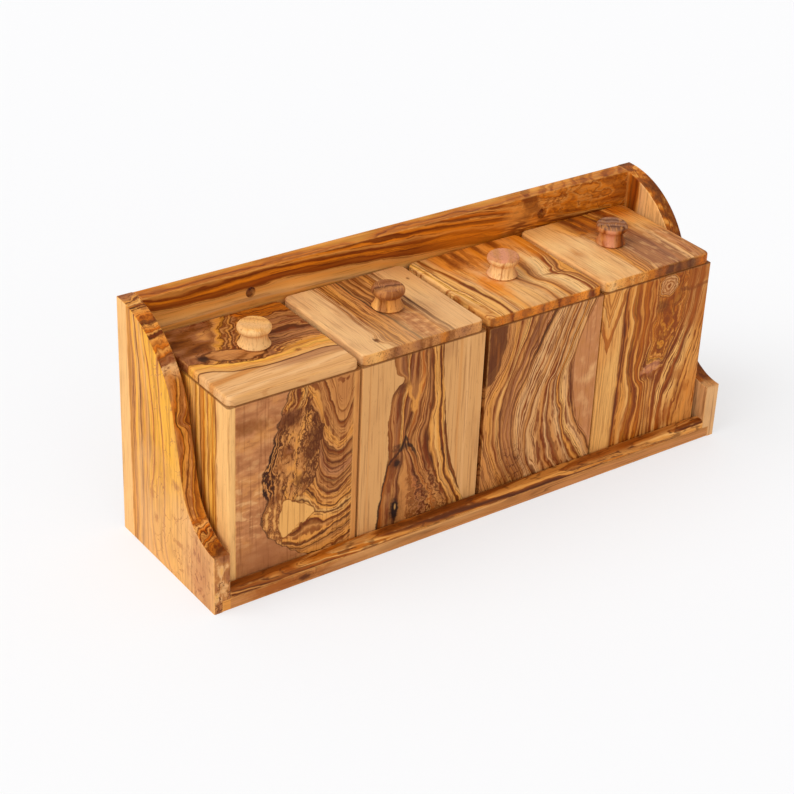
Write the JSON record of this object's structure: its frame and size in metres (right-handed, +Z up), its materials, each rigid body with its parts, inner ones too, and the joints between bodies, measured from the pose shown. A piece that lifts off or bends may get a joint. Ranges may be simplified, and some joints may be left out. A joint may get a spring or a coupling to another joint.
{
  "type": "wooden spice box",
  "caption": "Open wooden rack with ogee end boards, wall holes in its back board and a low front rail, holding a row of square canisters with lift-off knobbed lids.",
  "frame": {"origin": "middle of the rack's underside", "axes": "+X along the row to the right as seen from the front, +Y to the back board, +Z up"},
  "size_m": [0.43, 0.12, 0.175],
  "materials": {
    "rack_wood": "satin oiled olive wood",
    "canister_wood": "satin oiled olive wood",
    "lid_wood": "satin oiled olive wood",
    "knob_wood": "satin turned olive wood"
  },
  "bodies": {
    "rack": {"left_end_board": "rack_wood", "right_end_board": "rack_wood", "back_board": "rack_wood", "base_board": "rack_wood", "front_rail": "rack_wood"},
    "canister_1": {"canister_1_left_wall": "canister_wood", "canister_1_right_wall": "canister_wood", "canister_1_front_panel": "canister_wood", "canister_1_back_panel": "canister_wood", "canister_1_floor": "canister_wood"},
    "canister_2": {"canister_2_left_wall": "canister_wood", "canister_2_right_wall": "canister_wood", "canister_2_front_panel": "canister_wood", "canister_2_back_panel": "canister_wood", "canister_2_floor": "canister_wood"},
    "canister_3": {"canister_3_left_wall": "canister_wood", "canister_3_right_wall": "canister_wood", "canister_3_front_panel": "canister_wood", "canister_3_back_panel": "canister_wood", "canister_3_floor": "canister_wood"},
    "canister_4": {"canister_4_left_wall": "canister_wood", "canister_4_right_wall": "canister_wood", "canister_4_front_panel": "canister_wood", "canister_4_back_panel": "canister_wood", "canister_4_floor": "canister_wood"},
    "lid_1": {"lid_1_board": "lid_wood", "lid_1_plug": "lid_wood", "lid_1_knob": "knob_wood"},
    "lid_2": {"lid_2_board": "lid_wood", "lid_2_plug": "lid_wood", "lid_2_knob": "knob_wood"},
    "lid_3": {"lid_3_board": "lid_wood", "lid_3_plug": "lid_wood", "lid_3_knob": "knob_wood"},
    "lid_4": {"lid_4_board": "lid_wood", "lid_4_plug": "lid_wood", "lid_4_knob": "knob_wood"}
  },
  "joints": [
    {"name": "canister_1_lift", "type": "slide", "parent": "rack", "child": "canister_1", "axis": [0, 0, 1], "range_m": [0, 0.18]},
    {"name": "canister_2_lift", "type": "slide", "parent": "rack", "child": "canister_2", "axis": [0, 0, 1], "range_m": [0, 0.18]},
    {"name": "canister_3_lift", "type": "slide", "parent": "rack", "child": "canister_3", "axis": [0, 0, 1], "range_m": [0, 0.18]},
    {"name": "canister_4_lift", "type": "slide", "parent": "rack", "child": "canister_4", "axis": [0, 0, 1], "range_m": [0, 0.18]},
    {"name": "lid_1_lift", "type": "slide", "parent": "canister_1", "child": "lid_1", "axis": [0, 0, 1], "range_m": [0, 0.12]},
    {"name": "lid_2_lift", "type": "slide", "parent": "canister_2", "child": "lid_2", "axis": [0, 0, 1], "range_m": [0, 0.12]},
    {"name": "lid_3_lift", "type": "slide", "parent": "canister_3", "child": "lid_3", "axis": [0, 0, 1], "range_m": [0, 0.12]},
    {"name": "lid_4_lift", "type": "slide", "parent": "canister_4", "child": "lid_4", "axis": [0, 0, 1], "range_m": [0, 0.12]}
  ]
}
